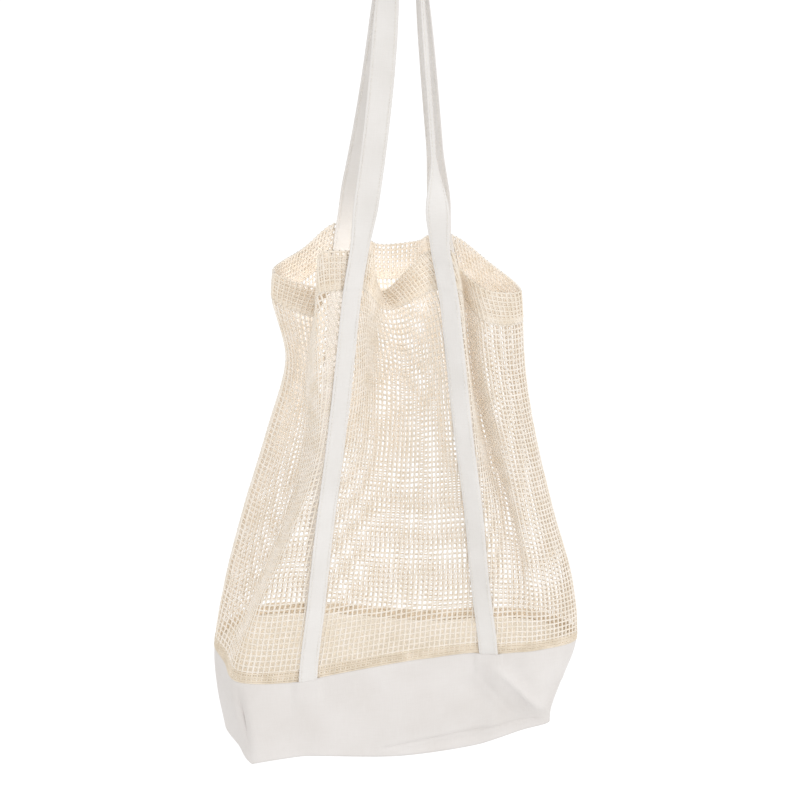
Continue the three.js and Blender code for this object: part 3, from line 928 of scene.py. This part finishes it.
def handle_lines(first, second, facing):
    """A whole handle's middles, ways across, normals and half widths.

    It runs up the first leg, over the loop and down the second leg.
    """
    radius = LOOP_RADIUS + STRAP_THICK / 2
    centre = np.array([0, facing * LOOP_PITCH / 2, -LOOP_RADIUS])

    def on_loop(angle):
        return centre + np.array([-first.side * radius * math.cos(angle), 0, radius * math.sin(angle)])

    legs = []
    angles = []
    for leg in (first, second):
        sewn = leg.sewn(facing)
        mouth = sewn[0][-1]
        lean = math.atan2(abs(mouth[0]) - radius, centre[2] - mouth[2])
        angle = lean if leg is first else math.pi - lean
        free = leg.free(mouth, sewn[1][-1], on_loop(angle), facing)
        legs.append([np.concatenate(pair) for pair in zip(sewn, free)])
        angles.append(angle)
    turns = np.linspace(*angles, LOOP_ROWS + 1)[1:-1]
    middle = np.array([on_loop(angle) for angle in turns])
    ahead = np.stack([first.side * np.sin(turns), 0 * turns, np.cos(turns)], axis=1)
    across = np.broadcast_to((0.0, facing, 0.0), ahead.shape)
    over = [middle, across, unit(np.cross(across, ahead)), np.full((len(turns), 1), STRAP_WIDTH / 2)]
    return [np.concatenate([up, mid, down[::-1]]) for up, mid, down in zip(legs[0], over, legs[1])]


# How a strap thins towards its edges, and its lengthwise creases
EDGE_THIN = 0.6
EDGE_POWER = 8
CREASE_DEPTH = 0.00035
CREASE_CELL = 5
CREASE_POWER = 4


def strap_body(lines, rng):
    """A flat folded strap along its lines, with rounded edges and soft lengthwise creases."""
    middle, across, normal, half = lines
    spread = np.sin(np.linspace(-math.pi / 2, math.pi / 2, STRAP_FACE_POINTS))
    thin = (STRAP_THICK / 2) * (1 - EDGE_THIN * np.abs(spread) ** EDGE_POWER)
    ripple = wander(rng, (len(middle), STRAP_FACE_POINTS), CREASE_CELL)
    crease = CREASE_DEPTH * ripple * (1 - spread ** CREASE_POWER)
    flat = middle[:, None] + across[:, None] * (half * spread)[..., None]
    front = flat + normal[:, None] * (thin + crease)[..., None]
    back = flat + normal[:, None] * (crease - thin)[..., None]
    rings = np.concatenate([front, back[:, ::-1]], axis=1)[None]
    around = STRAP_WIDTH / 2 * np.concatenate([spread, 2 - spread[::-1], [3]])
    along = arc_lengths(middle)[None]
    return swept(rings, around, along, flip=True)


# Stitches

# A stitch, the gap to the next one, and its thread
STITCH_LENGTH = 0.0028
STITCH_GAP = 0.0008
STITCH_RADIUS = 0.00028
STITCH_SIDES = 4


def stitch_row(points, outs, proud):
    """Short threads end to end along a line, each dipping into the cloth at its ends."""
    arcs = arc_lengths(points)
    pitch = STITCH_LENGTH + STITCH_GAP
    starts = np.arange(0, arcs[-1] - pitch, pitch)
    dip = np.array([-STITCH_RADIUS, proud, proud, -STITCH_RADIUS])
    places = starts[:, None] + np.linspace(0, STITCH_LENGTH, len(dip))[None, :]
    paths = along_line(points, arcs, places)
    ups = unit(along_line(outs, arcs, places))
    radius = np.full(places.shape, STITCH_RADIUS)
    return tubes(paths + ups * dip[None, :, None], ups, radius, radius, STITCH_SIDES)


# How far a row of stitches lies in from a strap's edge, and how far it stands off the face
STRAP_STITCH_IN = 0.0026
STITCH_PROUD = 0.00012


def strap_stitches(lines):
    """Rows of stitches along both edges of a strap, on both its faces."""
    middle, across, normal, half = lines
    rows = []
    for side in (-1, 1):
        edge = middle + across * side * (half - STRAP_STITCH_IN)
        for face in (-1, 1):
            out = normal * face
            rows.append(stitch_row(edge + out * STRAP_THICK / 2, out, STITCH_PROUD))
    return joined(*rows)


# Putting it together

BODY = "root"
SEED = 11


def make_panel(name, first, last, hem_shift, hem_yarn_painted_shade_at_front, rng):
    """One net panel with its hem and its seam band.

    Thin cotton lets most light through, so the net throws no shadow.
    """
    panel = Panel(first, last)
    body = new_piece(name + "_strands", net_body(panel, rng), YARN)
    # The front hem's yarn is a darker copy that paints the shade of its folded layers; the back hem takes the
    # plain yarn.
    hem = new_piece(name + "_hem", hem_body(panel, hem_shift, rng), hem_yarn_painted_shade_at_front)
    # The seam band's yarn is a darker tan copy that paints the shade between its close ribs.
    band = new_piece(name + "_band", band_body(panel, rng), PAINTED_SHADE_BAND_YARN)
    for piece in (body, hem, band):
        piece.visible_shadow = False
        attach(piece, BODY)
    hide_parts(name)


def make_strap(name, first, second, facing, rng):
    lines = handle_lines(first, second, facing)
    strap = new_piece(name + "_cloth", strap_body(lines, rng), STRAP)
    seams = new_piece(name + "_stitches", strap_stitches(lines), THREAD)
    for piece in (strap, seams):
        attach(piece, BODY)
    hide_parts(name)


def make_stage():
    mesh = bpy.data.meshes.new("floor")
    corners = [(-1, -1), (1, -1), (1, 1), (-1, 1)]
    points = [(x * FLOOR_REACH, y * FLOOR_REACH, FLOOR_LEVEL) for x, y in corners]
    mesh.from_pydata(points, [], [(0, 1, 2, 3)])
    material = bpy.data.materials.new("white_floor")
    material.use_nodes = True
    shader = material.node_tree.nodes["Principled BSDF"]
    shader.inputs["Base Color"].default_value = FLOOR_COLOUR
    shader.inputs["Roughness"].default_value = 1.0
    shader.inputs["Specular IOR Level"].default_value = 0.0
    mesh.materials.append(material)
    floor = bpy.data.objects.new("floor", mesh)
    bpy.context.scene.collection.objects.link(floor)


def make_sky():
    world = bpy.data.worlds.new("studio")
    bpy.context.scene.world = world
    world.use_nodes = True
    sky = world.node_tree.nodes["Background"]
    sky.inputs["Color"].default_value = (1, 1, 1, 1)
    sky.inputs["Strength"].default_value = SKY_STRENGTH


def make_sun():
    lamp = bpy.data.lights.new("soft_sun", "SUN")
    lamp.energy = SUN_STRENGTH
    lamp.angle = SUN_ANGLE
    sun = bpy.data.objects.new("soft_sun", lamp)
    x, y, z = SUN_TOWARDS
    sun.rotation_euler = (math.atan2(math.hypot(x, y), z), 0, math.atan2(y, x) + math.pi / 2)
    bpy.context.scene.collection.objects.link(sun)


def make_glows():
    for power, width, height, *place in zip(*GLOWS.values()):
        for facing, share in ((1, 1), (-1, GLOW_FRONT_SHARE)):
            panel = bpy.data.lights.new("inner_glow", "AREA")
            panel.energy = share * power * width * height
            panel.shape = "RECTANGLE"
            panel.size = width
            panel.size_y = height
            glow = bpy.data.objects.new("inner_glow", panel)
            glow.location = place
            glow.rotation_euler = (facing * math.pi / 2, 0, 0)
            glow.visible_camera = False
            bpy.context.scene.collection.objects.link(glow)


def make_camera():
    data = bpy.data.cameras.new("camera")
    data.lens = CAMERA_LENS
    data.sensor_width = CAMERA_SENSOR
    camera = bpy.data.objects.new("camera", data)
    back = CAMERA_DISTANCE * math.cos(CAMERA_ELEVATION)
    rise = CAMERA_DISTANCE * math.sin(CAMERA_ELEVATION)
    camera.location = (CAMERA_AIM[0], CAMERA_AIM[1] - back, CAMERA_AIM[2] + rise)
    camera.rotation_euler = (math.pi / 2 - CAMERA_ELEVATION, 0, 0)
    bpy.context.scene.collection.objects.link(camera)
    bpy.context.scene.camera = camera


make_camera()
make_sky()
make_sun()
make_glows()
make_stage()
bpy.context.scene.cycles.diffuse_bounces = LIGHT_BOUNCES
bpy.context.scene.view_settings.view_transform = "Standard"
rng = np.random.default_rng(SEED)
make_panel("front_net", SIDE_LEFT, SIDE_RIGHT, FRONT_HEM_SHIFT, PAINTED_SHADE_HEM_YARN, rng)
make_panel("back_net", SIDE_RIGHT, STATION_COUNT, BACK_HEM_SHIFT, YARN, rng)
base = make_base()
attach(base, BODY)
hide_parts("canvas_base")
front_left = Leg("front_left", 1, 1, FREE_TURN_FLAT, BOW_LEFT)
front_right = Leg("front_right", -1, -1, FREE_TURN_EDGE, BOW_RIGHT)
back_right = Leg("back_right", -1, 1, FREE_TURN_HALF, BOW_RIGHT)
back_left = Leg("back_left", 1, -1, FREE_TURN_FLAT, BOW_LEFT)
make_strap("front_strap", front_left, front_right, -1, rng)
make_strap("back_strap", back_right, back_left, 1, rng)
